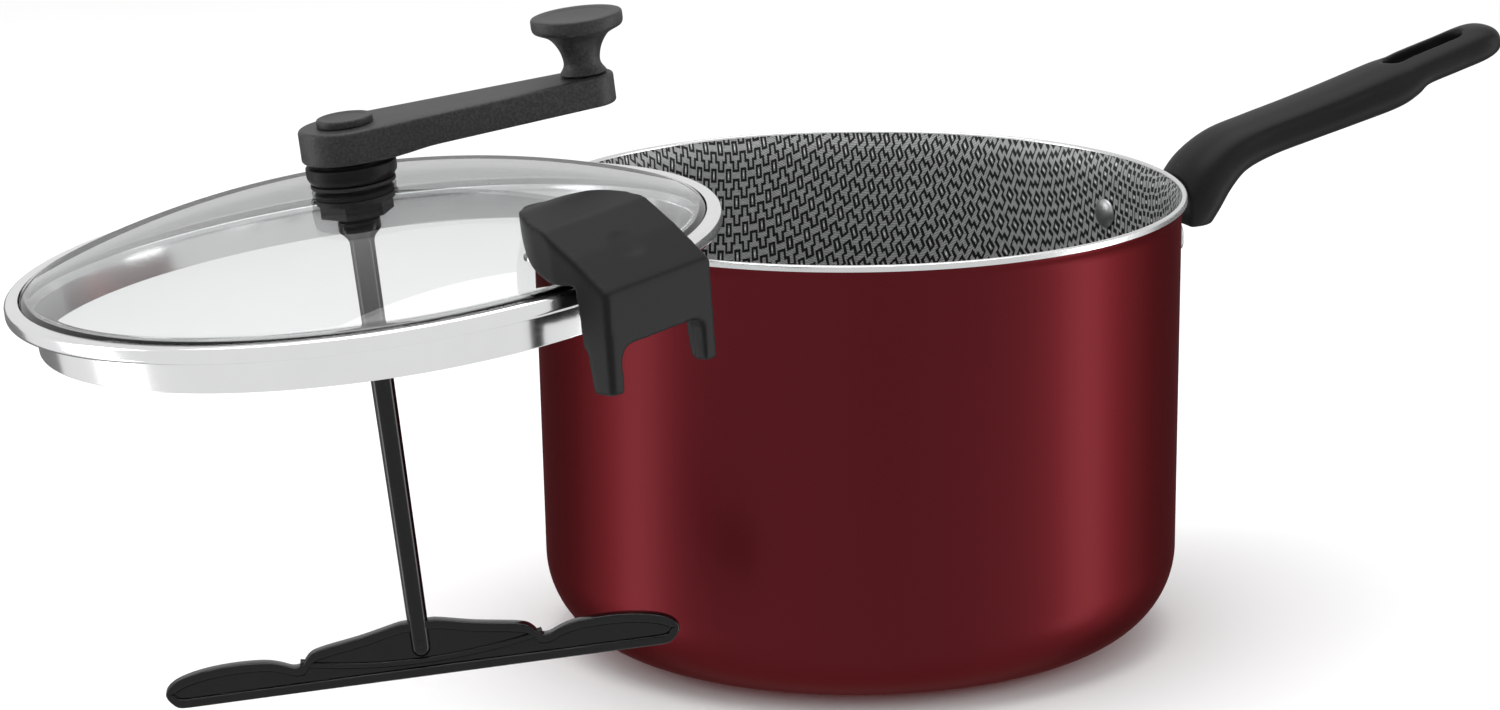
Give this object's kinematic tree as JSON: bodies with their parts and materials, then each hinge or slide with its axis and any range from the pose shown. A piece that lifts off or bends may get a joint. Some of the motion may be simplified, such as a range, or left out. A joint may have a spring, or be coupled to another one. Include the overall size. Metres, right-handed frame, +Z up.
{
  "type": "saucepan with crank-stirrer glass lid",
  "caption": "Deep round saucepan with one long side handle, and a domed glass lid with a crank that turns a paddle blade and a forked bracket over its edge.",
  "frame": {"origin": "centre of the pan's flat base, on the plane it stands on", "axes": "+Z up along the pan's axis, +X out along the handle"},
  "size_m": [0.5189, 0.2831, 0.2195],
  "materials": {
    "pan_lacquer": "satin",
    "handle_phenolic": "matte",
    "crank_plastic": "matte",
    "stirrer_plastic": "gloss",
    "polished_steel": "polished",
    "bare_aluminium": "satin",
    "clear_glass": "gloss",
    "grey_silicone": "matte"
  },
  "bodies": {
    "pan": {"pan_body": "pan_lacquer", "handle_bracket": "polished_steel", "handle_rivet_left": "bare_aluminium", "handle_rivet_right": "bare_aluminium", "handle_grip": "handle_phenolic", "handle_screw": "polished_steel"},
    "lid": {"lid_glass": "clear_glass", "lid_ring": "polished_steel", "hub_bush": "crank_plastic", "hub_gasket_upper": "grey_silicone", "hub_gasket_lower": "grey_silicone", "hub_nut": "crank_plastic", "lock_bracket": "handle_phenolic", "lock_pad": "grey_silicone", "lock_washer": "polished_steel", "lock_screw": "polished_steel"},
    "crank": {"crank_arm": "crank_plastic", "crank_cap": "crank_plastic", "crank_screw": "polished_steel", "thrust_washer": "polished_steel", "stirrer_rod": "stirrer_plastic", "stirrer_blade": "stirrer_plastic", "blade_pin": "polished_steel", "knob_pin": "polished_steel"},
    "knob": {"crank_knob": "crank_plastic"}
  },
  "joints": [
    {"name": "lid_lift", "type": "slide", "parent": "pan", "child": "lid", "axis": [-0.1054, 0.0274, 0.9941], "range_m": [0, 0.15]},
    {"name": "crank_turn", "type": "hinge", "parent": "lid", "child": "crank", "pos_m": [-0.18425, -0.06331, 0.154], "axis": [-0.1054, 0.0274, 0.9941], "continuous": true},
    {"name": "knob_spin", "type": "hinge", "parent": "crank", "child": "knob", "pos_m": [-0.11223, -0.06808, 0.16176], "axis": [-0.1054, 0.0274, 0.9941], "continuous": true}
  ]
}
